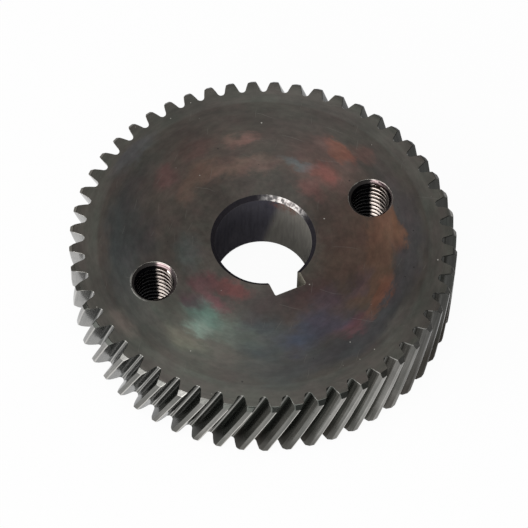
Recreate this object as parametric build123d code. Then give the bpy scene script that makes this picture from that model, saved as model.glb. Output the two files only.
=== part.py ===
from build123d import *

import math
import os

# A single-helical spur gear: one steel blank, turned and bored, hobbed with
# right-hand involute teeth, broached with one keyway, and drilled and tapped with
# two puller holes. Millimetres. The bore axis is Z, the lower face lies on z = 0.

# Teeth
tooth_count = 52
normal_module = 1.25
normal_pressure_angle = math.radians(20.0)
helix_angle = math.acos(15 / 16)        # 20 deg 21 min 51 s, right-hand
addendum_factor = 1.0
dedendum_factor = 1.25
tooth_thinning = 0.04                   # backlash allowance on the transverse thickness
tooth_phase_at_top = 6.5                # degrees from +X to a tooth's middle, upper face

# Blank
face_width = 16.3
rim_chamfer = 0.75

# Bore and keyway
bore_diameter = 18.0
bore_chamfer = 0.8
key_width = 6.0
height_over_keyway = 20.8               # far side of the bore to the keyway's floor
keyway_corner_radius = 0.25
keyway_edge_break = 0.2

# Puller holes, tapped right through
puller_circle_diameter = 44.0
tap_drill_diameter = 6.8
countersink_diameter = 8.4

# Fineness of the teeth: within 0.02 mm of the true involute and helix
flank_chords = 3
helix_stations = 4

# How far a gap's cutter runs out past the tips of the teeth
overrun = 0.5

# Worked out from the above, in the transverse plane of the gear
pitch_radius = tooth_count * normal_module / (2 * math.cos(helix_angle))
tip_radius = pitch_radius + addendum_factor * normal_module
root_radius = pitch_radius - dedendum_factor * normal_module
transverse_pressure_angle = math.atan(math.tan(normal_pressure_angle) / math.cos(helix_angle))
base_radius = pitch_radius * math.cos(transverse_pressure_angle)
tooth_thickness = math.pi * pitch_radius / tooth_count - tooth_thinning
tooth_pitch_angle = 360 / tooth_count
twist_per_mm = math.degrees(math.tan(helix_angle) / pitch_radius)


def involute(angle):
    """Involute function: the polar angle of an involute at a pressure angle."""
    return math.tan(angle) - angle


def polar(radius, angle):
    """Point in the XY plane at a radius and an angle in radians."""
    return Vector(radius * math.cos(angle), radius * math.sin(angle))


def mirrored(point):
    """The same point on the other flank of a gap that is centred on the X axis."""
    return Vector(point.X, -point.Y)


def gap_half_angle(radius):
    """Half the angle of the gap between two teeth, at a radius."""
    pressure_angle = math.acos(base_radius / radius)
    tooth_half_angle = (
        tooth_thickness / (2 * pitch_radius)
        + involute(transverse_pressure_angle)
        - involute(pressure_angle)
    )
    return math.pi / tooth_count - tooth_half_angle


def root_arc_radius():
    """Radius of the one arc that touches both flanks of a gap and the root circle."""
    # Involutes of one base circle that lie a distance apart are turned by that
    # distance over the base radius. So the arc's centre is where the gap's half
    # angle equals the arc's radius over the base radius.
    radius = normal_module / 2
    for _ in range(30):
        radius = base_radius * gap_half_angle(root_radius + radius)
    return radius


def flank_start_radius():
    """Radius at which the involute leaves the root arc."""
    arc_radius = root_arc_radius()
    arc_centre_radius = root_radius + arc_radius
    roll_length = math.sqrt(arc_centre_radius**2 - base_radius**2) - arc_radius
    return math.hypot(base_radius, roll_length)


def gap_profile():
    """Transverse section of one gap: a full-radius root, two involutes, an open end."""
    inner = flank_start_radius()
    step = (tip_radius - inner) / flank_chords
    radii = [inner + index * step for index in range(flank_chords)] + [tip_radius + overrun]
    flank = [polar(radius, gap_half_angle(radius)) for radius in radii]

    root_arc = ThreePointArc(mirrored(flank[0]), Vector(root_radius, 0), flank[0])
    edges = [root_arc, Line(flank[-1], mirrored(flank[-1]))]
    for start, end in zip(flank, flank[1:]):
        edges.append(Line(start, end))
        edges.append(Line(mirrored(start), mirrored(end)))
    return make_face(edges)


def tooth_gaps():
    """One helical cutter for each gap, lofted through evenly turned stations."""
    profile = gap_profile()
    middle_of_gap_at_top = tooth_phase_at_top + tooth_pitch_angle / 2
    stations = []
    for index in range(helix_stations):
        z = face_width * index / (helix_stations - 1)
        turn = middle_of_gap_at_top + (z - face_width) * twist_per_mm
        stations.append(Pos(0, 0, z) * Rot(0, 0, turn) * profile)
    cutter = loft(stations, ruled=True)
    return [Rot(0, 0, index * tooth_pitch_angle) * cutter for index in range(tooth_count)]


def turned_blank():
    """Solid disc with its rim bevelled on both faces."""
    half_section = Polyline(
        (0, 0),
        (tip_radius - rim_chamfer, 0),
        (tip_radius, rim_chamfer),
        (tip_radius, face_width - rim_chamfer),
        (tip_radius - rim_chamfer, face_width),
        (0, face_width),
        close=True,
    )
    return revolve(Plane.XZ * make_face(half_section), Axis.Z)


def through_hole(diameter, mouth_chamfer):
    """Cutter for a hole on the Z axis, bevelled where it meets each face."""
    radius = diameter / 2
    half_section = Polyline(
        (0, 0),
        (radius + mouth_chamfer, 0),
        (radius, mouth_chamfer),
        (radius, face_width - mouth_chamfer),
        (radius + mouth_chamfer, face_width),
        (0, face_width),
        close=True,
    )
    return revolve(Plane.XZ * make_face(half_section), Axis.Z)


def keyway_block(width, floor_y, corner_radius, height):
    """Upright block from the bore axis to a floor line, its floor corners rounded."""
    block = Pos(0, floor_y / 2, height / 2) * Box(width, -floor_y, height)
    floor_corners = block.edges().filter_by(Axis.Z).group_by(Axis.Y)[0]
    return fillet(floor_corners, corner_radius)


def keyway():
    """Broached slot towards -Y, with rounded floor corners and broken outer edges."""
    floor_y = bore_diameter / 2 - height_over_keyway
    slot = keyway_block(key_width, floor_y, keyway_corner_radius, face_width)

    # At each face a shallow block with a bevelled inner end breaks the slot's edge
    bevel = 2 * keyway_edge_break
    mouth = keyway_block(
        key_width + 2 * bevel, floor_y - bevel, keyway_corner_radius + bevel, 2 * bevel
    )
    mouth = chamfer(mouth.faces().sort_by(Axis.Z)[0].edges(), bevel)
    upper_mouth = Pos(0, 0, face_width - keyway_edge_break) * mouth
    lower_mouth = mirror(upper_mouth, Plane.XY.offset(face_width / 2))
    return slot + upper_mouth + lower_mouth


def puller_holes():
    """Two tap-drilled holes on the X axis, countersunk on both faces."""
    countersink = (countersink_diameter - tap_drill_diameter) / 2
    hole = through_hole(tap_drill_diameter, countersink)
    reach = puller_circle_diameter / 2
    return [Pos(-reach, 0, 0) * hole, Pos(reach, 0, 0) * hole]


def helical_gear():
    """The finished gear, made in the order in which it is machined."""
    bored_blank = turned_blank() - through_hole(bore_diameter, bore_chamfer)
    drilled_blank = bored_blank - keyway() - puller_holes()
    return drilled_blank - tooth_gaps()


os.makedirs("parts", exist_ok=True)
gear = helical_gear()
export_step(gear, "parts/helical_gear.step")
print(f"helical_gear: volume {gear.volume:.0f} mm3, solids {len(gear.solids())}")
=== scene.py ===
import math

import bmesh
import bpy
import numpy as np
from mathutils import Matrix, Vector
from mathutils.geometry import delaunay_2d_cdt


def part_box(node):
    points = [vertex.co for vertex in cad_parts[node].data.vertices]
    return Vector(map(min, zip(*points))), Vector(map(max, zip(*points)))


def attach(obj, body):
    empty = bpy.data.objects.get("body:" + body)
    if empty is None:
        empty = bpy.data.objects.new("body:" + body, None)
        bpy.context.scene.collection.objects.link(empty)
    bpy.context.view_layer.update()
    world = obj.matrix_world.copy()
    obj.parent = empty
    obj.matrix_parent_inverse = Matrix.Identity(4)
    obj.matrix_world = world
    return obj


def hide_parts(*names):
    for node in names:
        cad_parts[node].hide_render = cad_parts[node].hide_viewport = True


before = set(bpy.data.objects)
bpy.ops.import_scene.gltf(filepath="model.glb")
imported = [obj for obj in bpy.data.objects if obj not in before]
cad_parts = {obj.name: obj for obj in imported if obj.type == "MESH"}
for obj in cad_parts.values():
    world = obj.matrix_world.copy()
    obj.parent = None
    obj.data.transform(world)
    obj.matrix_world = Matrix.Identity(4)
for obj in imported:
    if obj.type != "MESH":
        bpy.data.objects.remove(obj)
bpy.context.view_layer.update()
gear_low, gear_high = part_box("helical_gear")


# ---- Camera ----
# A long lens on a stand in front of the gear and to its left, looking down on it at
# about sixty degrees, with the stand a little out of plumb.
camera_distance = 0.5306
camera_elevation = math.radians(58.93)
camera_turn = math.radians(-26.1)
camera_roll = math.radians(1.605)

toward_camera = Vector((
    math.sin(camera_turn) * math.cos(camera_elevation),
    -math.cos(camera_turn) * math.cos(camera_elevation),
    math.sin(camera_elevation),
))
level_right = Vector((math.cos(camera_turn), math.sin(camera_turn), 0))
level_up = toward_camera.cross(level_right)
camera_right = math.cos(camera_roll) * level_right + math.sin(camera_roll) * level_up
camera_up = math.cos(camera_roll) * level_up - math.sin(camera_roll) * level_right
camera_data = bpy.data.cameras.new("camera")
camera_data.sensor_width = 36
camera_data.lens = 193.06
camera_data.shift_x = 0.00236
camera_data.shift_y = -0.00388
camera_data.clip_start = 0.01
camera = bpy.data.objects.new("camera", camera_data)
camera_place = (gear_low + gear_high) / 2 + camera_distance * toward_camera
camera.matrix_world = Matrix.Translation(camera_place) @ (
    Matrix((camera_right, camera_up, toward_camera)).transposed().to_4x4()
)
bpy.context.scene.collection.objects.link(camera)
bpy.context.scene.camera = camera


# ---- Helical gear ----
# One piece of carbon steel: turned, bored, hobbed with right-hand helical teeth,
# broached for a key, and drilled and tapped for a puller. Lengths are in millimetres
# until the mesh is made.

# Teeth: involute flanks down to a full-radius root, with every corner just broken
tooth_count = 52
normal_module = 1.25
normal_pressure_angle = math.radians(20)
helix_angle = math.acos(15 / 16)
dedendum_factor = 1.25
tooth_thinning = 0.04                   # backlash allowance on the tooth's thickness
tooth_phase_at_top = math.radians(6.5)  # from +X to a tooth's middle, upper face
face_width = (gear_high.z - gear_low.z) * 1000
rim_chamfer = 0.75
tooth_corner = 0.1
face_edge_break = 0.07

# Fineness: points on half a root arc and on a flank, the height of the last strip of a
# flank, and how far out on half a land each point is
root_arc_points = 8
flank_points = 8
last_strip = 0.16
land_steps = np.array([1, 0.72, 0.36, 0])

# Wear runs from the top of a flank, over the corner and onto the land. The corners of
# the coasting flanks are less worn. A line at the root and a strip at the tip of each
# flank have shares of bare steel and painted light of their own.
wear_over_corner = (0.7, 1, 0.9, 0.35)
coast_corner_wear = 0.3
root_line_spans = 3
tip_strip_spans = 4
bevel_edge_rub = 1.3                    # wear on the rim bevel's edges beside its share of bare steel and painted light
face_edge_wear = 0.25                   # wear on the rim of a face, scaled by its bevel's bare steel and painted light
corner_wear_kept = 0.2                  # wear that the bevel's own corners always have

# Share of bare steel on each surface, at some directions round the gear in degrees: the
# flanks that drive are rubbed bright, the coasting ones keep their dark scale. How the
# shares rise and fall round the gear is painted light and shade, as the light and the
# reflections fall on each side. The seam is the strip in the middle of a root, and the
# land is the top of a tooth.
bare_steel_and_painted_light_round = {
    "seam": [(0, 0.3)],
    "root": [(-180, 0.95), (-135, 0.8), (-100, 0.3), (-20, 0.25), (60, 0.9)],
    "drive": [(-150, 0.4), (-125, 0.5), (-115, 0.8), (-50, 0.8), (-20, 0.5), (60, 0.6),
              (135, 1.0), (150, 0.8), (165, 0.55), (180, 0.45)],
    "coast tip": [(-125, 0), (-118, 0.3), (-85, 0.4), (-77, 0.35), (-66, 0.16), (-50, 0.05),
                  (-30, 0)],
    "coast": [(-125, 0), (-118, 0.1), (-85, 0.1), (-77, 0.15), (-50, 0.1), (-30, 0)],
    "land": [(-167, 0.68), (-155, 0.38), (-146, 0.5), (-139, 0.33), (-132, 0.6), (-118, 0.45),
             (-104, 0.35), (-95, 0.65), (-77, 0.75), (-68, 0.4), (-56, 0.08), (-40, 0.03),
             (-14, 0.2), (90, 0.5)],
    "bevel": [(-167, 0.05), (-160, 0.5), (-150, 0.45), (-139, 0.65), (-132, 0.35), (-125, 0.15),
              (-118, 0), (-108, 0.1), (-90, 0), (-77, 0), (-63, 0.22), (-40, 0.22), (-28, 0.08),
              (-14, 0.42), (-5, 0.2), (5, 0)],
}

pitch_radius = tooth_count * normal_module / (2 * math.cos(helix_angle))
tip_radius = pitch_radius + normal_module
root_radius = pitch_radius - dedendum_factor * normal_module
transverse_pressure_angle = math.atan(math.tan(normal_pressure_angle) / math.cos(helix_angle))
base_radius = pitch_radius * math.cos(transverse_pressure_angle)
tooth_thickness = math.pi * pitch_radius / tooth_count - tooth_thinning
twist_per_mm = math.tan(helix_angle) / pitch_radius


def involute(angle):
    """The polar angle of an involute at a pressure angle."""
    return np.tan(angle) - angle


def tooth_half_angle(radius):
    """Half the angle that a tooth takes up at a radius."""
    return (
        tooth_thickness / (2 * pitch_radius)
        + involute(transverse_pressure_angle)
        - involute(np.arccos(base_radius / radius))
    )


# The one arc that touches both flanks of a gap and the root circle
root_arc = normal_module / 2
for _ in range(30):
    half_gap = math.pi / tooth_count - tooth_half_angle(root_radius + root_arc)
    root_arc = base_radius * half_gap
arc_centre = root_radius + root_arc
flank_start = math.hypot(base_radius, math.sqrt(arc_centre**2 - base_radius**2) - root_arc)

start_half_gap = math.pi / tooth_count - tooth_half_angle(flank_start)
root_arc_end = math.atan2(
    flank_start * math.sin(start_half_gap),
    arc_centre - flank_start * math.cos(start_half_gap),
)


def half_tooth(outer_radius):
    """From the middle of the gap to the middle of the tooth, which is on the X axis:
    points, how far each is part of a worn edge, and what each span between them is."""
    sweep = np.linspace(0, root_arc_end, root_arc_points + 1)[:-1]
    gap = -math.pi / tooth_count
    along = arc_centre - root_arc * np.cos(sweep)
    across = root_arc * np.sin(sweep)
    root = np.stack([
        along * math.cos(gap) - across * math.sin(gap),
        along * math.sin(gap) + across * math.cos(gap),
    ], axis=1)

    corner_start = outer_radius - tooth_corner
    radii = np.linspace(flank_start, corner_start - last_strip, flank_points)
    radii = np.append(radii, corner_start)
    angles = -tooth_half_angle(radii)
    flank = np.stack([radii * np.cos(angles), radii * np.sin(angles)], axis=1)

    land_half = tooth_half_angle(outer_radius) - tooth_corner / outer_radius
    land_angles = -land_half * land_steps
    land = outer_radius * np.stack([np.cos(land_angles), np.sin(land_angles)], axis=1)
    tip = np.array([
        outer_radius * math.cos(tooth_half_angle(outer_radius)),
        -outer_radius * math.sin(tooth_half_angle(outer_radius)),
    ])
    corner = 0.25 * flank[-1] + 0.5 * tip + 0.25 * land[0]

    points = np.concatenate([root, flank, corner[None], land])
    after_flank = len(root) + len(flank)
    wear = np.zeros(len(points))
    wear[after_flank - 1 : after_flank + 3] = wear_over_corner
    spans = ["seam"] + ["root"] * (root_line_spans - 1)
    spans += ["fillet"] * (len(root) - len(spans))
    spans += ["flank"] * (after_flank - 1 - tip_strip_spans - len(spans))
    spans += ["tip"] * tip_strip_spans
    spans += ["land"] * (len(points) - 1 - len(spans))
    return points, wear, spans


def tooth_ring(outer_radius, turn):
    """The whole toothed outline at one height, anticlockwise, with its wear and what
    the span after each point is."""
    points, wear, spans = half_tooth(outer_radius)
    one_pitch = np.concatenate([points, points[-2:0:-1] * (1, -1)])
    wear = np.concatenate([wear * coast_corner_wear, wear[-2:0:-1]])
    coast_names = {"flank": "coast", "tip": "coast tip"}
    drive_names = {"flank": "drive", "tip": "drive"}
    coast = [coast_names.get(span, span) for span in spans]
    drive = [drive_names.get(span, span) for span in spans[::-1]]
    turns = turn + np.arange(tooth_count) * 2 * math.pi / tooth_count
    rotated = [
        one_pitch @ np.array([[math.cos(a), math.sin(a)], [-math.sin(a), math.cos(a)]])
        for a in turns
    ]
    return np.concatenate(rotated), np.tile(wear, tooth_count), coast + drive


def bare_and_painted_light_share(surface, ring):
    """The share of bare steel and painted light on one surface at each point of an outline."""
    around = np.degrees(np.arctan2(ring[:, 1], ring[:, 0]))
    directions, shares = zip(*bare_steel_and_painted_light_round[surface])
    return np.interp(around, directions, shares, period=360)


def set_in(ring, distance):
    """The same closed outline moved into the metal on its left-hand side."""
    ahead = np.roll(ring, -1, axis=0) - np.roll(ring, 1, axis=0)
    ahead /= np.linalg.norm(ahead, axis=1)[:, None]
    return ring + distance * np.stack([-ahead[:, 1], ahead[:, 0]], axis=1)


def lifted(ring, height):
    """A flat outline at a height."""
    return np.column_stack([ring, np.full(len(ring), height)])


def wall_heights(depths, strips):
    """Heights of a wall's rows: at those depths from both faces, and evenly between."""
    low = np.array(depths)
    high = face_width - low[::-1]
    return np.concatenate([low, np.linspace(low[-1], high[0], strips + 1)[1:-1], high])


def on_bevel(heights, level, bevel):
    """Whether the strip above one row of a wall is on its bevel at either face."""
    middle = (heights[level] + heights[min(level + 1, len(heights) - 1)]) / 2
    return min(middle, face_width - middle) < bevel


rim_heights = wall_heights(
    [0, face_edge_break, 0.3, rim_chamfer - 0.1, rim_chamfer, rim_chamfer + 0.1], 13)
rim_rings, rim_wear, rim_bare_and_painted_light = [], [], []
for level, z in enumerate(rim_heights):
    depth = min(z, face_width - z)
    outer_radius = tip_radius - max(0, rim_chamfer - depth)
    turn = tooth_phase_at_top + (z - face_width) * twist_per_mm
    ring, wear, spans = tooth_ring(outer_radius, turn)
    radius = np.linalg.norm(ring, axis=1)
    # Painted light: the bevel's share round the gear also brightens or dims the worn edges
    painted_light_or_rub = np.minimum(1, bevel_edge_rub * bare_and_painted_light_share("bevel", ring))
    spans = np.tile(spans, tooth_count)
    bare_and_painted_light = np.zeros(len(ring))
    for surface in bare_steel_and_painted_light_round:
        bare_and_painted_light = np.where(spans == surface, bare_and_painted_light_share(surface, ring), bare_and_painted_light)
    if on_bevel(rim_heights, level, rim_chamfer):
        bare_and_painted_light = np.where(spans == "land", bare_and_painted_light_share("bevel", ring), bare_and_painted_light)
    if depth == 0:
        ring = set_in(ring, face_edge_break)
        wear = np.maximum(wear, face_edge_wear) * painted_light_or_rub
    elif abs(depth - rim_chamfer) < 1e-9:
        wear = np.where(radius > tip_radius - 1.5 * tooth_corner, painted_light_or_rub, wear)
    elif depth < rim_chamfer:
        wear = wear * (corner_wear_kept + (1 - corner_wear_kept) * painted_light_or_rub)
    rim_rings.append(lifted(ring, z))
    rim_wear.append(wear)
    rim_bare_and_painted_light.append(bare_and_painted_light)

# Bore and keyway
bore_radius = 9.0
bore_chamfer = 0.8
key_half_width = 3.0
keyway_floor = 11.8                     # from the bore's axis
keyway_corner = 0.25
keyway_edge_break = 0.2
bore_arc_points = 121
bore_edge_wear = 0.7
keyway_edge_wear = 0.5
keyway_mouth_wear = 0.6


def bore_ring(depth):
    """Outline of the bore with its keyway towards -Y, anticlockwise from the key."""
    radius = bore_radius + max(0, bore_chamfer - depth)
    opened = max(0, keyway_edge_break - depth)
    half = key_half_width + opened
    floor = keyway_floor + opened
    corner = keyway_corner + opened
    mouth = math.asin(half / radius)
    round_bore = np.linspace(mouth - math.pi / 2, 1.5 * math.pi - mouth, bore_arc_points)
    arc = radius * np.stack([np.cos(round_bore), np.sin(round_bore)], axis=1)
    side = np.linspace(arc[-1][1], -floor + corner, 5)[1:-1]
    left = np.stack([np.full(len(side), -half), side], axis=1)
    turn = np.linspace(0, math.pi / 2, 6)
    left_corner = np.stack([
        -half + corner - corner * np.cos(turn),
        -floor + corner - corner * np.sin(turn),
    ], axis=1)
    middle = np.array([[0, -floor]])
    right = left[::-1] * (-1, 1)
    right_corner = left_corner[::-1] * (-1, 1)
    return np.concatenate([arc, left, left_corner, middle, right_corner, right])


bore_heights = wall_heights([0, keyway_edge_break, 0.5, 0.7, bore_chamfer, 0.95], 7)
bore_rings, bore_wear, bore_bare = [], [], []
for level, z in enumerate(bore_heights):
    depth = min(z, face_width - z)
    ring = bore_ring(depth)
    wear = np.zeros(len(ring))
    if abs(depth - bore_chamfer) < 1e-9 or depth == 0:
        wear[:bore_arc_points] = bore_edge_wear
    if depth <= keyway_edge_break:
        wear[bore_arc_points:] = keyway_edge_wear
    wear[[0, bore_arc_points - 1]] = keyway_mouth_wear
    bare_and_painted_light = np.zeros(len(ring))
    bare_and_painted_light[: bore_arc_points - 1] = on_bevel(bore_heights, level, bore_chamfer)
    bore_rings.append(lifted(ring, z))
    bore_wear.append(wear)
    bore_bare.append(bare_and_painted_light)

# Tapped holes: a 60 degree thread of 8 mm with a pitch of 1.25 mm, cut through a
# drilled and countersunk hole
puller_reach = 22.0                     # from the bore's axis to each hole's
thread_pitch = 1.25
thread_crest_radius = 3.4
thread_root_radius = 4.0
countersink_radius = 4.2
crest_width = 0.401
root_width = 0.156
slope_width = (thread_pitch - crest_width - root_width) / 2
thread_depth = thread_root_radius - thread_crest_radius
countersink_edge = 0.05                 # depth of the worn edge where it meets the face
full_turn = np.linspace(0, 2 * math.pi, 61)

# One turn of thread from the bottom up: height, radius, and how bright it is rubbed, which also
# paints a highlight on the crest
thread_steps = [
    (0, thread_crest_radius, 1), (crest_width / 2, thread_crest_radius, 0.9),
    (crest_width, thread_crest_radius, 0.7),
    (crest_width + slope_width / 5, thread_crest_radius + thread_depth / 5, 0),
    (crest_width + slope_width, thread_root_radius, 0),
    (crest_width + slope_width + root_width, thread_root_radius, 0),
    (thread_pitch - slope_width / 2, thread_root_radius - thread_depth / 2, 0),
]


def tapped_hole(centre_x, first_turn):
    """The threaded wall of one hole, as rows that climb with the thread. They start
    below the lower face and end above the upper one, and are cut off level with them."""
    rows, wear, crest_and_painted_highlight = [], [], []
    for turn in range(-2, int(face_width / thread_pitch) + 2):
        for rise, radius, worn in thread_steps:
            climb = (turn + first_turn) * thread_pitch + rise
            z = np.clip(climb + thread_pitch * full_turn / (2 * math.pi), 0, face_width)
            depth = np.minimum(z, face_width - z)
            r = np.maximum(radius, countersink_radius - depth)
            rows.append(np.stack(
                [centre_x + r * np.cos(full_turn), r * np.sin(full_turn), z], axis=1
            ))
            wear.append(np.where(depth < countersink_edge, 1.0, 0.0))
            crest_and_painted_highlight.append(np.where(r > radius, 0.0, worn))
    return rows, wear, crest_and_painted_highlight


# End faces, between the outlines of everything that breaks them
def inside(outline, point):
    """Whether a closed outline goes round a point."""
    x, y = (outline - point).T
    next_x, next_y = np.roll(x, -1), np.roll(y, -1)
    crossing = (y > 0) != (next_y > 0)
    right_of_point = (x * next_y - next_x * y) * np.sign(next_y - y) > 0
    return bool(np.sum(crossing & right_of_point) % 2)


def end_face(height):
    """Triangles of one flat face."""
    rim = rim_rings[0] if height == 0 else rim_rings[-1]
    bore = bore_rings[0] if height == 0 else bore_rings[-1]
    around = full_turn[:-1]
    circle = countersink_radius * np.stack([np.cos(around), np.sin(around)], axis=1)
    openings = [bore[:, :2], circle + (puller_reach, 0), circle - (puller_reach, 0)]
    points, edges = [], []
    for loop in [rim[:, :2], *openings]:
        first = len(points)
        points += [Vector(p) for p in loop]
        edges += [(first + i, first + (i + 1) % len(loop)) for i in range(len(loop))]
    made, _, triangles, *_ = delaunay_2d_cdt(points, edges, [], 1, 1e-7)
    kept = []
    for triangle in triangles:
        middle = np.mean([made[i] for i in triangle], axis=0)
        if not any(inside(opening, middle) for opening in openings):
            kept.append(triangle if height else triangle[::-1])
    return lifted(np.array([tuple(p) for p in made]), height), kept


# Put together as one closed skin. The finishes are made in this order further down.
face_finish, tooth_finish, bore_finish, thread_finish = range(4)
corners, polygons, finishes, corner_wear, bare_steel_and_painted_light = [], [], [], [], []


def add_rows(rows, wear, bare_and_painted_light, finish, closed, outward):
    """A strip of quads between each row of points and the next, with the wear of every
    point and the share of bare steel and painted light of every quad."""
    first = len(corners)
    count = len(rows[0])
    for row in rows:
        corners.extend(map(tuple, row))
    for level in range(len(rows) - 1):
        for column in range(count if closed else count - 1):
            after = (column + 1) % count
            spots = [(level, column), (level, after), (level + 1, after), (level + 1, column)]
            if not outward:
                spots.reverse()
            polygons.append([first + l * count + c for l, c in spots])
            corner_wear.extend(wear[l][c] for l, c in spots)
            bare_steel_and_painted_light.append(bare_and_painted_light[level][column])
            finishes.append(finish)


add_rows(rim_rings, rim_wear, rim_bare_and_painted_light, tooth_finish, True, True)
add_rows(bore_rings, bore_wear, bore_bare, bore_finish, True, False)
for centre_x, first_turn in [(puller_reach, 0.0), (-puller_reach, 0.35)]:
    rows, wear, crest_and_painted_highlight = tapped_hole(centre_x, first_turn)
    add_rows(rows, wear, crest_and_painted_highlight, thread_finish, False, False)

for height in (0, face_width):
    points, triangles = end_face(height)
    first = len(corners)
    corners.extend(map(tuple, points))
    for triangle in triangles:
        polygons.append([first + i for i in triangle])
        corner_wear.extend([0, 0, 0])
        bare_steel_and_painted_light.append(0)
        finishes.append(face_finish)

gear_mesh = bpy.data.meshes.new("gear")
gear_mesh.from_pydata([Vector(p) * 0.001 for p in corners], [], polygons)
gear_mesh.polygons.foreach_set("material_index", finishes)
gear_mesh.attributes.new("worn_edge", "FLOAT", "CORNER").data.foreach_set("value", corner_wear)
gear_mesh.attributes.new("bare_steel_and_painted_light", "FLOAT", "FACE").data.foreach_set("value", bare_steel_and_painted_light)
skin = bmesh.new()
skin.from_mesh(gear_mesh)
bmesh.ops.remove_doubles(skin, verts=skin.verts, dist=1e-6)
bmesh.ops.dissolve_degenerate(skin, edges=skin.edges, dist=1e-7)
skin.to_mesh(gear_mesh)
skin.free()
gear_mesh.shade_smooth()
gear_mesh.set_sharp_from_angle(angle=math.radians(35))
gear = bpy.data.objects.new("gear", gear_mesh)
bpy.context.scene.collection.objects.link(gear)


# Finish of the steel. Colours are written as they look on a screen, from 0 to 255.
def tone(red, green, blue):
    """A screen colour as the light that a surface sends back."""
    return tuple((c / 255 / 12.92 if c <= 10 else ((c / 255 + 0.055) / 1.055) ** 2.4)
                 for c in (red, green, blue)) + (1.0,)


def add_node(tree, kind, inputs=None, **settings):
    """A shader node with its settings made and its inputs filled in or linked."""
    node = tree.nodes.new("ShaderNode" + kind)
    for name, value in settings.items():
        setattr(node, name, value)
    for socket, value in (inputs or {}).items():
        if isinstance(value, bpy.types.NodeSocket):
            tree.links.new(value, node.inputs[socket])
        else:
            node.inputs[socket].default_value = value
    return node


def calc(tree, operation, *values):
    """One sum on numbers that change over the surface."""
    return add_node(tree, "Math", dict(enumerate(values)), operation=operation).outputs[0]


def vector_calc(tree, operation, *values):
    """One sum on vectors that change over the surface."""
    node = add_node(tree, "VectorMath", dict(enumerate(values)), operation=operation)
    return node.outputs["Value" if operation == "LENGTH" else "Vector"]


def scaled(tree, vector, factor):
    """A vector made longer or shorter."""
    node = add_node(tree, "VectorMath", {0: vector, "Scale": factor}, operation="SCALE")
    return node.outputs["Vector"]


def ramp(tree, value, start, end, low=0.0, high=1.0):
    """A soft step in a number as another goes from start to end."""
    return add_node(tree, "MapRange", {
        "Value": value, "From Min": start, "From Max": end, "To Min": low, "To Max": high,
    }, interpolation_type="SMOOTHSTEP").outputs["Result"]


def blend_colours(tree, share, under, over, how="MIX"):
    """A share of one colour over another."""
    return add_node(tree, "Mix", {0: share, 6: under, 7: over}, data_type="RGBA",
                    blend_type=how).outputs[2]


def painted(tree, colour, mask, share, over):
    """A colour with a share of another over it, where a mask shows."""
    return blend_colours(tree, calc(tree, "MULTIPLY", mask, share), colour, tone(*over))


def shaded(tree, colour, share, shade, start, end, dark, light):
    """A colour made darker or lighter as a shade goes from start to end."""
    return blend_colours(tree, share, colour, ramp(tree, shade, start, end, dark, light), "OVERLAY")


def split_up(tree, vector):
    """The three numbers of a vector."""
    return add_node(tree, "SeparateXYZ", {0: vector}).outputs


def joined(tree, *values):
    """A vector of two or three numbers."""
    return add_node(tree, "CombineXYZ", dict(enumerate(values))).outputs[0]


def turned_round(tree, vector, angle):
    """A vector turned round the gear's axis."""
    return add_node(tree, "VectorRotate", {"Vector": vector, "Angle": angle},
                    rotation_type="Z_AXIS").outputs[0]


def moved_about(tree, vector, noise, distance):
    """A vector moved by up to about half a distance each way, as a noise goes."""
    centred = vector_calc(tree, "SUBTRACT", noise.outputs["Color"], (0.5, 0.5, 0.5))
    return vector_calc(tree, "ADD", vector, scaled(tree, centred, distance))


def new_effect(name, inputs, outputs):
    """An empty node group with named sockets, and its two ends."""
    tree = bpy.data.node_groups.new(name, "ShaderNodeTree")
    for socket, value in inputs.items():
        kind = "NodeSocketVector" if value is None else "NodeSocketFloat"
        made = tree.interface.new_socket(socket, in_out="INPUT", socket_type=kind)
        if value is not None:
            made.default_value = value
    for socket in outputs:
        tree.interface.new_socket(socket, in_out="OUTPUT", socket_type="NodeSocketFloat")
    start = tree.nodes.new("NodeGroupInput").outputs
    end = tree.nodes.new("NodeGroupOutput").inputs
    return tree, start, end


def laid_on(tree, effect, place, **values):
    """One output of an effect placed in a material; a socket's name has spaces where
    the value's name here has underscores."""
    node = add_node(tree, "Group", node_tree=effect)
    for name, value in {"Place": place, **values}.items():
        socket = node.inputs[name.replace("_", " ")]
        if isinstance(value, bpy.types.NodeSocket):
            tree.links.new(value, socket)
        else:
            socket.default_value = value
    return node.outputs[0]


# Fine rings left by the lathe tool
turning_marks, given, result = new_effect(
    "turning_marks", {"Place": None, "Spacing": 0.3}, ["Shade"])
flat = vector_calc(turning_marks, "MULTIPLY", given["Place"], (1, 1, 0))
radius = vector_calc(turning_marks, "LENGTH", flat)
rings = calc(turning_marks, "DIVIDE", radius, given["Spacing"])
direction = split_up(turning_marks, vector_calc(turning_marks, "NORMALIZE", flat))
lines = add_node(turning_marks, "TexNoise", {
    "Vector": joined(turning_marks, rings, direction[0], direction[1]),
    "Scale": 1.0, "Detail": 3.0})
turning_marks.links.new(lines.outputs["Fac"], result["Shade"])

# Cloudy change from place to place
mottle, given, result = new_effect(
    "mottle", {"Place": None, "Size": 5.0, "Contrast": 2.0}, ["Shade"])
clouds = add_node(mottle, "TexNoise", {
    "Vector": given["Place"], "Scale": calc(mottle, "DIVIDE", 1.0, given["Size"]),
    "Detail": 5.0, "Roughness": 0.6})
centred = calc(mottle, "SUBTRACT", clouds.outputs["Fac"], 0.5)
stretched = calc(mottle, "MULTIPLY_ADD", centred, given["Contrast"], 0.5)
mottle.links.new(add_node(mottle, "Clamp", {0: stretched}).outputs[0], result["Shade"])

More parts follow.
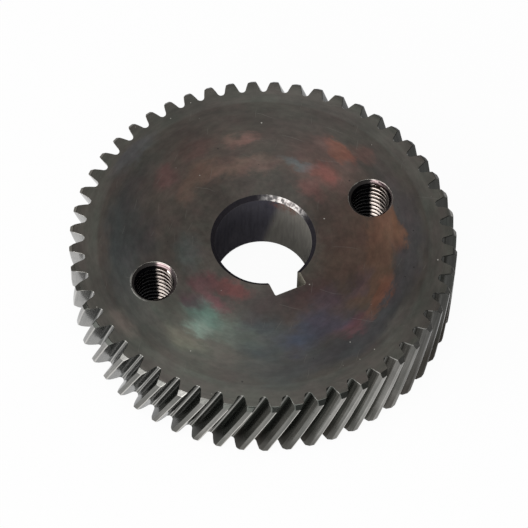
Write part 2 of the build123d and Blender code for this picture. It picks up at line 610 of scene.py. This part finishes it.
# Small round specks or pits, a share of them on an even spacing
specks, given, result = new_effect(
    "specks", {"Place": None, "Spacing": 2.0, "Size": 0.1, "Share": 0.3}, ["Mask"])
cells = add_node(specks, "TexVoronoi", {
    "Vector": given["Place"], "Scale": calc(specks, "DIVIDE", 1.0, given["Spacing"])})
away = calc(specks, "MULTIPLY", cells.outputs["Distance"], given["Spacing"])
pick = add_node(specks, "SeparateColor", {0: cells.outputs["Color"]}).outputs
chosen = calc(specks, "LESS_THAN", pick[0], given["Share"])
reach = calc(specks, "MULTIPLY", given["Size"], calc(specks, "ADD", pick[1], 0.5))
outside = ramp(specks, away, calc(specks, "MULTIPLY", reach, 0.6), reach)
spot = calc(specks, "SUBTRACT", 1.0, outside)
specks.links.new(calc(specks, "MULTIPLY", spot, chosen), result["Mask"])

# Thin, slightly bent scratches that run one way
scratches, given, result = new_effect("scratches", {
    "Place": None, "Direction": 0.0, "Length": 3.0, "Spacing": 1.5, "Width": 0.04, "Share": 0.4,
}, ["Mask"])
bend = add_node(scratches, "TexNoise", {"Vector": given["Place"], "Scale": 0.15, "Detail": 1.0})
bent = moved_about(scratches, given["Place"], bend, 3.0)
turned = split_up(scratches, turned_round(
    scratches, bent, calc(scratches, "RADIANS", given["Direction"])))
lengths = calc(scratches, "DIVIDE", turned[0], given["Length"])
spacings = calc(scratches, "DIVIDE", turned[1], given["Spacing"])
laid_out = joined(scratches, lengths, spacings)
cells = add_node(scratches, "TexVoronoi", {"Vector": laid_out, "Scale": 1.0},
                 voronoi_dimensions="2D")
off = split_up(scratches, vector_calc(
    scratches, "SUBTRACT", laid_out, cells.outputs["Position"]))
sideways = calc(scratches, "MULTIPLY", calc(scratches, "ABSOLUTE", off[1]), given["Spacing"])
endways = calc(scratches, "ABSOLUTE", off[0])
outside = ramp(scratches, sideways, calc(scratches, "MULTIPLY", given["Width"], 0.3),
               given["Width"])
thin = calc(scratches, "SUBTRACT", 1.0, outside)
faded = ramp(scratches, endways, 0.45, 0.2)
pick = add_node(scratches, "SeparateColor", {0: cells.outputs["Color"]}).outputs
chosen = calc(scratches, "LESS_THAN", pick[0], given["Share"])
scratches.links.new(calc(scratches, "MULTIPLY", calc(scratches, "MULTIPLY", thin, faded), chosen),
                    result["Mask"])

# Edges rubbed down to bright steel, broken up along their length
edge_wear, given, result = new_effect("edge_wear", {"Place": None, "Reach": 0.5}, ["Mask"])
edge = add_node(edge_wear, "Attribute", attribute_name="worn_edge").outputs["Fac"]
uneven = add_node(edge_wear, "TexNoise", {"Vector": given["Place"], "Scale": 0.5, "Detail": 3.0})
needed = calc(edge_wear, "MULTIPLY_ADD", uneven.outputs["Fac"], 0.7,
              calc(edge_wear, "SUBTRACT", 0.65, given["Reach"]))
worn = ramp(edge_wear, edge, needed, calc(edge_wear, "ADD", needed, 0.35))
edge_wear.links.new(worn, result["Mask"])

# A patch that follows the turning round the centre, such as a temper colour; the teeth and bore
# also use it for painted light and shade
tint_and_painted_light_patch, given, result = new_effect("tint_and_painted_light_patch", {
    "Place": None, "Direction": 0.0, "Radius": 20.0, "Half Length": 3.0, "Inner Width": 2.0,
    "Outer Width": 2.0, "Softness": 0.6}, ["Mask"])
turn_back = calc(tint_and_painted_light_patch, "RADIANS", calc(tint_and_painted_light_patch, "MULTIPLY", given["Direction"], -1.0))
turned = split_up(tint_and_painted_light_patch, turned_round(tint_and_painted_light_patch, given["Place"], turn_back))
angle = calc(tint_and_painted_light_patch, "ARCTAN2", turned[1], turned[0])
arc = calc(tint_and_painted_light_patch, "MULTIPLY", angle, given["Radius"])
along = calc(tint_and_painted_light_patch, "DIVIDE", arc, given["Half Length"])
flat = vector_calc(tint_and_painted_light_patch, "MULTIPLY", given["Place"], (1, 1, 0))
rise = calc(tint_and_painted_light_patch, "SUBTRACT", vector_calc(tint_and_painted_light_patch, "LENGTH", flat), given["Radius"])
outwards = calc(tint_and_painted_light_patch, "DIVIDE", calc(tint_and_painted_light_patch, "MAXIMUM", rise, 0.0), given["Outer Width"])
inwards = calc(tint_and_painted_light_patch, "DIVIDE", calc(tint_and_painted_light_patch, "MINIMUM", rise, 0.0), given["Inner Width"])
across = calc(tint_and_painted_light_patch, "ADD", outwards, inwards)
reach = calc(tint_and_painted_light_patch, "SQRT", calc(
    tint_and_painted_light_patch, "ADD", calc(tint_and_painted_light_patch, "MULTIPLY", along, along),
    calc(tint_and_painted_light_patch, "MULTIPLY", across, across)))
patch = ramp(tint_and_painted_light_patch, reach, calc(tint_and_painted_light_patch, "ADD", 1.0, given["Softness"]),
             calc(tint_and_painted_light_patch, "SUBTRACT", 1.0, given["Softness"]))
tint_and_painted_light_patch.links.new(patch, result["Mask"])


def stretch_of(tree, place, direction, radius, half_length, width, softness):
    """A mask on one stretch of a wall that goes round the gear's axis."""
    return laid_on(tree, tint_and_painted_light_patch, place, Direction=direction, Radius=radius,
                   Half_Length=half_length, Inner_Width=width, Outer_Width=width,
                   Softness=softness)


def new_finish(name, metallic):
    """A material with its Principled shader, and the place on the gear in millimetres."""
    material = bpy.data.materials.new(name)
    material.use_nodes = True
    tree = material.node_tree
    shader = tree.nodes["Principled BSDF"]
    shader.inputs["Metallic"].default_value = metallic
    place = scaled(tree, add_node(tree, "TexCoord").outputs["Object"], 1000)
    gear_mesh.materials.append(material)
    return tree, shader, place


def finish_off(tree, shader, colour, roughness, height, depth):
    """Feeds the shader, with height as relief that is depth millimetres deep."""
    tree.links.new(colour, shader.inputs["Base Color"])
    tree.links.new(roughness, shader.inputs["Roughness"])
    relief = add_node(tree, "Bump", {"Height": height, "Strength": 1.0, "Distance": depth * 0.001})
    tree.links.new(relief.outputs["Normal"], shader.inputs["Normal"])


# Faces: dark scaled steel with temper colours from heat, fine turning rings that catch
# the light across them, scratches and dust
scale_metallic = 0.3
bare_metallic = 0.95
tree, shader, place = new_finish("scaled_face", scale_metallic)
shader.inputs["Anisotropic"].default_value = 0.8
shader.inputs["Anisotropic Rotation"].default_value = 0.25
tree.links.new(add_node(tree, "Tangent", direction_type="RADIAL", axis="Z").outputs[0],
               shader.inputs["Tangent"])

# Temper colours, each laid over those before it: direction in degrees, radius, half
# length, inner and outer width in mm, softness, strength, colour
temper_patches = [
    (180, 27.5, 16, 3.0, 2.5, 0.7, 0.7, (70, 71, 70)),
    (150, 26.0, 14, 3.0, 3.0, 0.7, 0.7, (62, 66, 69)),
    (-75, 27.5, 17, 2.5, 2.5, 0.7, 0.7, (64, 66, 71)),
    (-108, 28.0, 7, 3.0, 3.0, 0.7, 0.6, (64, 67, 69)),
    (-25, 26.8, 14, 2.0, 2.5, 0.7, 0.7, (72, 69, 73)),
    (-146, 24.0, 13, 6.0, 6.0, 0.8, 0.5, (100, 103, 96)),
    (105, 22.5, 16, 7.0, 4.0, 0.8, 0.6, (84, 72, 67)),
    (-35, 17.0, 15, 6.0, 6.0, 0.7, 0.7, (82, 62, 53)),
    (-100, 14.0, 8, 3.0, 4.0, 0.7, 0.7, (60, 52, 52)),
    (-5, 13.3, 5, 2.5, 3.0, 0.7, 0.6, (74, 60, 56)),
    (30, 20.5, 7, 5.5, 4.0, 0.7, 0.7, (104, 82, 77)),
    (118, 22.6, 2.8, 1.7, 1.7, 0.7, 0.8, (98, 72, 71)),
    (97, 23.5, 3.6, 1.7, 1.5, 0.8, 0.7, (90, 70, 66)),
    (101, 18.5, 3.4, 2.0, 2.0, 0.7, 0.8, (102, 82, 73)),
    (75.5, 22.8, 2.8, 1.1, 1.0, 0.6, 0.8, (116, 90, 84)),
    (68, 17.0, 5.0, 1.8, 1.6, 0.7, 0.8, (106, 88, 82)),
    (41, 18.6, 3.4, 1.0, 0.7, 0.6, 0.7, (94, 103, 106)),
    (29, 24.6, 3.4, 1.8, 1.4, 0.4, 0.85, (122, 80, 68)),
    (37, 24.0, 2.6, 1.3, 1.0, 0.6, 0.4, (102, 80, 76)),
    (21, 26.8, 2.6, 1.2, 1.0, 0.6, 0.6, (106, 80, 74)),
    (27.5, 18.4, 2.8, 1.8, 1.8, 0.6, 0.85, (124, 80, 74)),
    (28, 14.4, 2.8, 1.6, 1.6, 0.7, 0.7, (112, 77, 74)),
    (-81, 14.6, 4.0, 1.6, 1.6, 0.7, 0.7, (77, 56, 56)),
    (-37, 22.4, 10.0, 3.4, 2.2, 0.35, 0.85, (98, 74, 61)),
    (-14, 23.0, 5.0, 3.2, 2.4, 0.5, 0.85, (116, 86, 71)),
    (-73, 24.6, 3.4, 1.5, 1.2, 0.7, 0.85, (102, 70, 76)),
    (-73, 18.0, 3.0, 2.5, 2.5, 0.8, 0.7, (76, 64, 74)),
    (-87, 20.0, 3.0, 2.5, 2.2, 0.8, 0.7, (67, 65, 83)),
    (-99, 22.6, 3.6, 2.2, 2.0, 0.9, 0.8, (66, 75, 95)),
    (-117, 19.5, 4.0, 2.6, 2.2, 0.8, 0.7, (66, 74, 80)),
    (-149, 25.9, 4.0, 1.5, 1.5, 0.8, 0.6, (112, 114, 100)),
    (-134, 20.8, 3.8, 2.4, 2.0, 0.7, 0.8, (91, 105, 97)),
    (-123, 22.0, 3.2, 1.9, 1.7, 0.7, 0.7, (81, 88, 83)),
    (-149, 19.8, 3.5, 2.8, 2.0, 0.6, 0.85, (97, 122, 114)),
    (-162.6, 15.0, 2.6, 1.8, 1.7, 0.7, 0.8, (95, 65, 69)),
    (-155, 13.0, 2.2, 1.5, 1.5, 0.7, 0.8, (100, 64, 67)),
    (-139, 12.2, 2.6, 1.8, 1.8, 0.6, 0.8, (106, 61, 60)),
    (-147, 22.6, 2.4, 1.5, 1.3, 0.7, 0.7, (128, 150, 140)),
    (-117, 24.2, 3.2, 1.8, 1.7, 0.9, 0.5, (50, 64, 74)),
    (-158, 18.6, 2.4, 1.3, 1.3, 0.7, 0.6, (84, 52, 66)),
    (-147, 16.4, 2.4, 1.2, 1.2, 0.7, 0.6, (112, 64, 74)),
    (-53, 24.9, 5.0, 1.2, 1.0, 0.5, 0.8, (120, 80, 64)),
    (-19, 25.3, 4.5, 1.0, 0.8, 0.5, 0.7, (118, 84, 66)),
    (-53, 20.4, 3.2, 1.8, 1.2, 0.8, 0.4, (70, 60, 78)),
    (-79, 22.8, 3.2, 1.6, 1.5, 0.9, 0.4, (74, 70, 98)),
    (167, 14.4, 3.6, 2.5, 2.0, 0.7, 0.6, (80, 86, 86)),
    (88, 16.8, 4.2, 1.7, 1.6, 0.7, 0.7, (112, 90, 82)),
    (116, 18.0, 3.4, 2.0, 1.6, 0.7, 0.6, (102, 80, 72)),
    (155, 22.0, 5.0, 2.5, 2.5, 0.7, 0.5, (52, 54, 58)),
    (-168, 31.3, 3.5, 1.5, 1.5, 0.6, 0.7, (112, 105, 99)),
    (118, 31.0, 5.0, 1.5, 1.5, 0.6, 0.4, (84, 88, 96)),
    (-60, 30.4, 5.0, 1.0, 1.0, 0.6, 0.6, (98, 96, 92)),
]

# Clouds and the edges of the tints are drawn out along the turning, on a place that is
# wrapped round the axis
wrap_radius = 12.0
x, y, z = split_up(tree, place)
flat = vector_calc(tree, "MULTIPLY", place, (1, 1, 0))
from_axis = vector_calc(tree, "LENGTH", flat)
outward = split_up(tree, vector_calc(tree, "NORMALIZE", flat))
wrapped = joined(tree, from_axis, calc(tree, "MULTIPLY", outward[0], wrap_radius),
                 calc(tree, "MULTIPLY", outward[1], wrap_radius))
drift = add_node(tree, "TexNoise", {
    "Vector": wrapped, "Scale": 0.3, "Detail": 5.0, "Roughness": 0.65})
smeared = moved_about(tree, place, drift, 6.5)

# The plain scale is greyer outside a radius of 31 mm, and only the upper face is tinted
grey_rim = ramp(tree, from_axis, 30.4, 31.0)
plain = blend_colours(tree, grey_rim, tone(76, 71, 67), tone(82, 80, 76))
tinted = plain
for direction, radius, length, inner, outer, softness, strength, patch_colour in temper_patches:
    patch = laid_on(tree, tint_and_painted_light_patch, smeared, Direction=direction, Radius=radius,
                    Half_Length=length, Inner_Width=inner, Outer_Width=outer, Softness=softness)
    tinted = painted(tree, tinted, patch, strength, patch_colour)
colour = blend_colours(tree, ramp(tree, z, 6.0, 10.0), plain, tinted)

cloud = laid_on(tree, mottle, wrapped, Size=5.0, Contrast=2.4)
colour = shaded(tree, colour, 0.8, cloud, 0, 1, 0.36, 0.62)
hue_cloud = laid_on(tree, mottle, vector_calc(tree, "ADD", wrapped, (40, 0, 0)), Size=3.0,
                    Contrast=3.0)
greenish, reddish = (0.46, 0.53, 0.46, 1), (0.56, 0.47, 0.45, 1)
hue = blend_colours(tree, hue_cloud, greenish, reddish)
colour = blend_colours(tree, 0.5, colour, hue, "OVERLAY")
small_cloud = laid_on(tree, mottle, wrapped, Size=1.0, Contrast=2.4)
colour = shaded(tree, colour, 0.6, small_cloud, 0, 1, 0.4, 0.62)
ring_shade = laid_on(tree, turning_marks, place, Spacing=0.28)
colour = shaded(tree, colour, 0.07, ring_shade, 0.3, 0.7, 0.3, 0.7)

long_scratches = laid_on(tree, scratches, place, Direction=38.0, Length=7.0, Spacing=3.4,
                         Width=0.06, Share=0.16)
short_scratches = laid_on(tree, scratches, place, Direction=-55.0, Length=3.0, Spacing=2.6,
                          Width=0.06, Share=0.14)
scratched = calc(tree, "MAXIMUM", long_scratches, short_scratches)
colour = painted(tree, colour, scratched, 0.3, (118, 116, 110))
dust = laid_on(tree, specks, place, Spacing=1.7, Size=0.13, Share=0.2)
pits = laid_on(tree, specks, vector_calc(tree, "ADD", place, (5.3, 2.1, 0)), Spacing=2.8,
               Size=0.2, Share=0.25)
colour = painted(tree, colour, pits, 0.7, (32, 30, 29))
colour = painted(tree, colour, dust, 0.8, (190, 187, 180))

# The burr that the tap raised on one side of the left-hand hole
burr_radius = 4.36
off_centre = calc(tree, "SUBTRACT", calc(tree, "ABSOLUTE", x), puller_reach)
from_hole = vector_calc(tree, "LENGTH", joined(tree, off_centre, y))
from_burr = calc(tree, "ABSOLUTE", calc(tree, "SUBTRACT", from_hole, burr_radius))
one_side = calc(tree, "MULTIPLY", ramp(tree, off_centre, 2.6, 4.2), ramp(tree, x, 0, -5))
burr = calc(tree, "MULTIPLY", ramp(tree, from_burr, 0.2, 0.04), one_side)
ragged = ramp(tree, laid_on(tree, mottle, place, Size=1.0, Contrast=3.0), 0, 0.6)
bright_burr = calc(tree, "MULTIPLY", burr, ragged)
colour = painted(tree, colour, bright_burr, 0.9, (200, 198, 192))
tree.links.new(ramp(tree, bright_burr, 0, 1, scale_metallic, bare_metallic),
               shader.inputs["Metallic"])

roughness = ramp(tree, cloud, 0, 1, 0.5, 0.6)
raised = calc(tree, "MULTIPLY_ADD", ring_shade, 0.15, calc(tree, "MULTIPLY", small_cloud, 0.3))
height = calc(tree, "SUBTRACT", raised, calc(tree, "ADD", scratched, pits))
height = calc(tree, "MULTIPLY_ADD", burr, 8.0, height)
finish_off(tree, shader, colour, roughness, height, 0.012)

# Teeth: bright where the cutter and the mating gear have rubbed them, with painted light
# and shade round the gear, and strokes of the cutter along them
rim_reach = 35.0
tooth_reach = 20.0                      # more than the teeth's height, so all of it
tree, shader, place = new_finish("hobbed_teeth", 0.9)
shader.inputs["Specular Tint"].default_value = (0.6, 0.6, 0.6, 1)
z = split_up(tree, place)[2]
unwound = turned_round(tree, place, calc(tree, "MULTIPLY", z, -twist_per_mm))
along_teeth = vector_calc(tree, "MULTIPLY", unwound, (1, 1, 0.04))
strokes = laid_on(tree, mottle, along_teeth, Size=0.35, Contrast=1.6)
cloud = laid_on(tree, mottle, place, Size=4.0, Contrast=2.2)
bare_and_painted_light = add_node(tree, "Attribute", attribute_name="bare_steel_and_painted_light").outputs["Fac"]
scaled_and_painted_shade = calc(tree, "SUBTRACT", 1.0, bare_and_painted_light)

# Painted shade: the scale is darker on the right-hand side, away from the lamp
painted_shade_right = stretch_of(tree, place, 0.0, rim_reach, 52.0, tooth_reach, 0.4)
scale_colour_with_painted_shade = blend_colours(tree, painted_shade_right, tone(100, 97, 90), tone(58, 58, 56))
# The share of bare steel here carries the painted light of the table round the gear
bare_and_painted_light_amount = calc(tree, "MULTIPLY", bare_and_painted_light, ramp(tree, cloud, 0, 1, 0.8, 1.1))
colour = blend_colours(tree, bare_and_painted_light_amount, scale_colour_with_painted_shade, tone(196, 194, 190))
colour = shaded(tree, colour, 0.5, strokes, 0.2, 0.8, 0.3, 0.7)

# Painted shade on the scale at the front left, standing in for the dark reflections between the
# teeth
painted_shade_front_left = stretch_of(tree, place, -135.0, rim_reach, 32.0, tooth_reach, 0.3)
painted_shade_front_left = calc(tree, "MULTIPLY", painted_shade_front_left, scaled_and_painted_shade)
colour = painted(tree, colour, painted_shade_front_left, 0.75, (56, 62, 60))

# Painted shade low down at the front right, and on the lower ends of all the front teeth, darker
# towards the bottom
painted_shade_low = stretch_of(tree, place, -36.0, rim_reach, 19.0, tooth_reach, 0.5)
painted_shade_low = calc(tree, "MULTIPLY", painted_shade_low, ramp(tree, z, 13.0, 4.0))
painted_shade_lower_ends = stretch_of(tree, place, -75.0, rim_reach, 40.0, tooth_reach, 0.4)
painted_shade_lower_ends = calc(tree, "MULTIPLY", painted_shade_lower_ends, ramp(tree, z, 6.5, 1.5))
painted_shade_lower_ends = calc(tree, "MULTIPLY", painted_shade_lower_ends, scaled_and_painted_shade)
painted_shade_low = calc(tree, "MAXIMUM", painted_shade_low, painted_shade_lower_ends)
colour = painted(tree, colour, painted_shade_low, 0.8, (54, 49, 43))

green_film = laid_on(tree, mottle, place, Size=9.0, Contrast=3.0)
colour = blend_colours(tree, ramp(tree, green_film, 0.5, 1.0, 0.0, 0.2), colour, tone(70, 80, 74))
worn = laid_on(tree, edge_wear, place, Reach=0.6)
colour = painted(tree, colour, worn, 0.85, (225, 222, 216))
pits = laid_on(tree, specks, place, Spacing=1.6, Size=0.12, Share=0.25)
colour = painted(tree, colour, pits, 0.6, (40, 40, 38))
roughness = calc(tree, "MULTIPLY_ADD", painted_shade_low, 0.4, ramp(tree, cloud, 0, 1, 0.1, 0.18))
height = calc(tree, "SUBTRACT", calc(tree, "MULTIPLY", strokes, 0.1), pits)
finish_off(tree, shader, colour, roughness, height, 0.008)

# Bore and keyway: smooth, with a blue-black film, painted light on one side, and pitted
# white with a painted highlight where its mouth is bare
wall_reach = 3.0                        # more than the bevel's width, so all of it
painted_light_lean_per_mm = 0.023                     # the painted light's edge leans with depth, in radians
tree, shader, place = new_finish("bored_steel", 0.0)
shader.inputs["Specular IOR Level"].default_value = 0.0
cloud = laid_on(tree, mottle, place, Size=5.0, Contrast=2.2)
upright = laid_on(tree, mottle, vector_calc(tree, "MULTIPLY", place, (1, 1, 0.15)), Size=0.6,
                  Contrast=1.6)
bare_and_painted_light = add_node(tree, "Attribute", attribute_name="bare_steel_and_painted_light").outputs["Fac"]
_, y, z = split_up(tree, place)
colour = blend_colours(tree, cloud, tone(70, 69, 77), tone(84, 82, 88))
# Painted light on the right-hand wall, where the lamp shines in through the mouth
painted_light_leaning = turned_round(tree, place, calc(
    tree, "MULTIPLY", calc(tree, "SUBTRACT", z, face_width), painted_light_lean_per_mm))
painted_light_or_rub = stretch_of(tree, painted_light_leaning, -8.0, bore_radius, 8.1, wall_reach, 0.12)
colour = painted(tree, colour, painted_light_or_rub, 0.9, (126, 123, 116))
in_keyway = ramp(tree, y, -8.4, -8.8)
colour = blend_colours(tree, in_keyway, colour, tone(112, 108, 98))

# The bevel at the mouth: dark, with a rust stain below it and a blotchy painted highlight in a
# crescent on the side that faces the lamp
colour = blend_colours(tree, bare_and_painted_light, colour, tone(42, 40, 44))
blotches = laid_on(tree, mottle, place, Size=0.8, Contrast=5.0)
stained = stretch_of(tree, place, 37.0, bore_radius, 2.6, wall_reach, 0.5)
stained = calc(tree, "MULTIPLY", stained, ramp(tree, z, 12.0, 15.5))
colour = painted(tree, colour, stained, blotches, (120, 84, 76))
painted_highlight_crescent = stretch_of(tree, place, 38.0, 9.4, 3.8, wall_reach, 0.6)
painted_highlight_share = calc(tree, "MULTIPLY", painted_highlight_crescent, ramp(tree, blotches, 0, 1, 0.25, 1.0))
painted_highlight_on_bevel = calc(tree, "MULTIPLY", bare_and_painted_light, painted_highlight_share)
colour = blend_colours(tree, painted_highlight_on_bevel, colour, tone(205, 201, 198))
tree.links.new(ramp(tree, painted_highlight_on_bevel, 0, 1, 0.0, bare_metallic), shader.inputs["Metallic"])

colour = shaded(tree, colour, 0.3, upright, 0.2, 0.8, 0.3, 0.7)
worn = laid_on(tree, edge_wear, place, Reach=0.5)
colour = painted(tree, colour, worn, 0.25, (150, 146, 140))
pits = laid_on(tree, specks, place, Spacing=1.8, Size=0.14, Share=0.25)
colour = painted(tree, colour, pits, 0.5, (90, 70, 55))
roughness = ramp(tree, cloud, 0, 1, 0.4, 0.5)
sunken = calc(tree, "ADD", pits, calc(tree, "MULTIPLY", blotches, bare_and_painted_light))
height = calc(tree, "SUBTRACT", calc(tree, "MULTIPLY", upright, 0.3), sunken)
finish_off(tree, shader, colour, roughness, height, 0.01)

# Threads: crests and mouth rubbed bright and in painted light on one side, black with painted
# shadow on the other
painted_light_direction = math.radians(26)
tree, shader, place = new_finish("tapped_thread", 1.0)
cloud = laid_on(tree, mottle, place, Size=2.0, Contrast=2.2)
crest_and_painted_highlight = add_node(tree, "Attribute", attribute_name="bare_steel_and_painted_light").outputs["Fac"]
x, y, z = split_up(tree, place)
hole_centre = calc(tree, "MULTIPLY", calc(tree, "SIGN", x), puller_reach)
from_hole = joined(tree, calc(tree, "SUBTRACT", x, hole_centre), y)
painted_light_way = split_up(tree, turned_round(tree, from_hole, painted_light_direction))
toward_painted_light = calc(tree, "MULTIPLY_ADD", z, 0.03, painted_light_way[0])
ragged_painted_shadow_edge = calc(tree, "ADD", toward_painted_light, calc(tree, "MULTIPLY", cloud, 0.6))
painted_lit_side = ramp(tree, ragged_painted_shadow_edge, 0.5, 1.4)
painted_lit_side = calc(tree, "MULTIPLY", painted_lit_side, ramp(tree, toward_painted_light, 2.9, 3.7, 1.0, 0.15))
colour = blend_colours(tree, cloud, tone(26, 20, 18), tone(44, 34, 30))
# Painted highlight on the crests, partly rubbed steel
colour = blend_colours(tree, crest_and_painted_highlight, colour, tone(248, 234, 224))
# Painted shadow: black over all but the side that faces the lamp
colour = blend_colours(tree, painted_lit_side, tone(11, 10, 13), colour)

# The countersinks keep the ridges that their drill scraped, bright only on the side with painted
# light, and plain dark grey on the rest
from_mid_height = calc(tree, "ABSOLUTE", calc(tree, "SUBTRACT", z, face_width / 2))
depth = calc(tree, "SUBTRACT", face_width / 2, from_mid_height)
ridges = laid_on(tree, mottle, vector_calc(tree, "MULTIPLY", place, (0.1, 0.1, 5)), Size=0.7,
                 Contrast=5.0)
scraped = blend_colours(tree, ridges, tone(88, 72, 74), tone(210, 186, 186))
countersunk = blend_colours(tree, painted_lit_side, tone(66, 63, 62), scraped)
colour = blend_colours(tree, ramp(tree, depth, 0.62, 0.5), colour, countersunk)

worn = laid_on(tree, edge_wear, place, Reach=0.55)
colour = painted(tree, colour, worn, 0.8, (200, 196, 188))
pits = laid_on(tree, specks, place, Spacing=0.9, Size=0.12, Share=0.15)
colour = painted(tree, colour, pits, 0.5, (45, 32, 26))
roughness = calc(tree, "MULTIPLY_ADD", cloud, 0.1, ramp(tree, painted_lit_side, 0, 1, 0.6, 0.15))
finish_off(tree, shader, colour, roughness, calc(tree, "SUBTRACT", cloud, pits), 0.003)

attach(gear, "root")
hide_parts("helical_gear")


# ---- Table top ----
# A wide sheet of smooth white card, cut square, that the gear lies loose on. It takes
# the gear's shadow, and looks evenly white itself and in the gear's reflections.
card_half_width = 3.0
gap_under_gear = 0.0002
white = 0.95                            # share of the light that the card sends back
evenly_lit = 0.95                       # share of its look that the shadow leaves alone

table_mesh = bpy.data.meshes.new("table_top")
table_mesh.from_pydata(
    [(-card_half_width, -card_half_width, 0), (card_half_width, -card_half_width, 0),
     (card_half_width, card_half_width, 0), (-card_half_width, card_half_width, 0)],
    [], [(0, 1, 2, 3)],
)
table_top = bpy.data.objects.new("table_top", table_mesh)
table_top.location.z = gear_low.z - gap_under_gear
bpy.context.scene.collection.objects.link(table_top)
card = bpy.data.materials.new("white_card")
card.use_nodes = True
tree = card.node_tree
tree.nodes.clear()
matt = add_node(tree, "BsdfDiffuse", {"Color": (white, white, white, 1)}).outputs[0]
even = add_node(tree, "Emission", {"Strength": 1.0}).outputs[0]
seen = add_node(tree, "MixShader", {0: evenly_lit, 1: matt, 2: even}).outputs[0]
rays = add_node(tree, "LightPath").outputs
is_seen = calc(tree, "MAXIMUM", rays["Is Camera Ray"], rays["Is Glossy Ray"])
is_seen = calc(tree, "MAXIMUM", is_seen, rays["Is Transmission Ray"])
surface = add_node(tree, "MixShader", {0: is_seen, 1: matt, 2: seen}).outputs[0]
add_node(tree, "OutputMaterial", {"Surface": surface})
table_mesh.materials.append(card)


# ---- Studio light ----
# A large soft lamp low on the left, as a window would be, and a small weak one almost
# overhead, both on stands out of view in an even grey room.
room_grey = 0.29


def soft_lamp(name, azimuth, elevation, distance, size, power):
    """A rectangular lamp that faces the origin, with its angles in degrees."""
    data = bpy.data.lights.new(name, "AREA")
    data.shape = "RECTANGLE"
    data.size, data.size_y = size
    data.energy = power
    lamp = bpy.data.objects.new(name, data)
    a, e = math.radians(azimuth), math.radians(elevation)
    away = Vector((math.cos(a) * math.cos(e), math.sin(a) * math.cos(e), math.sin(e)))
    lamp.matrix_world = (
        Matrix.Translation(away * distance) @ away.to_track_quat("Z", "Y").to_matrix().to_4x4()
    )
    bpy.context.scene.collection.objects.link(lamp)


soft_lamp("window_lamp", azimuth=197, elevation=27, distance=1.2, size=(2.2, 1.0), power=13)
soft_lamp("ceiling_lamp", azimuth=230, elevation=78, distance=1.2, size=(0.8, 0.8), power=5)

room = bpy.data.worlds.new("room")
room.use_nodes = True
background = room.node_tree.nodes["Background"]
background.inputs["Color"].default_value = (room_grey, room_grey, room_grey, 1)
bpy.context.scene.world = room
bpy.context.scene.view_settings.view_transform = "Standard"
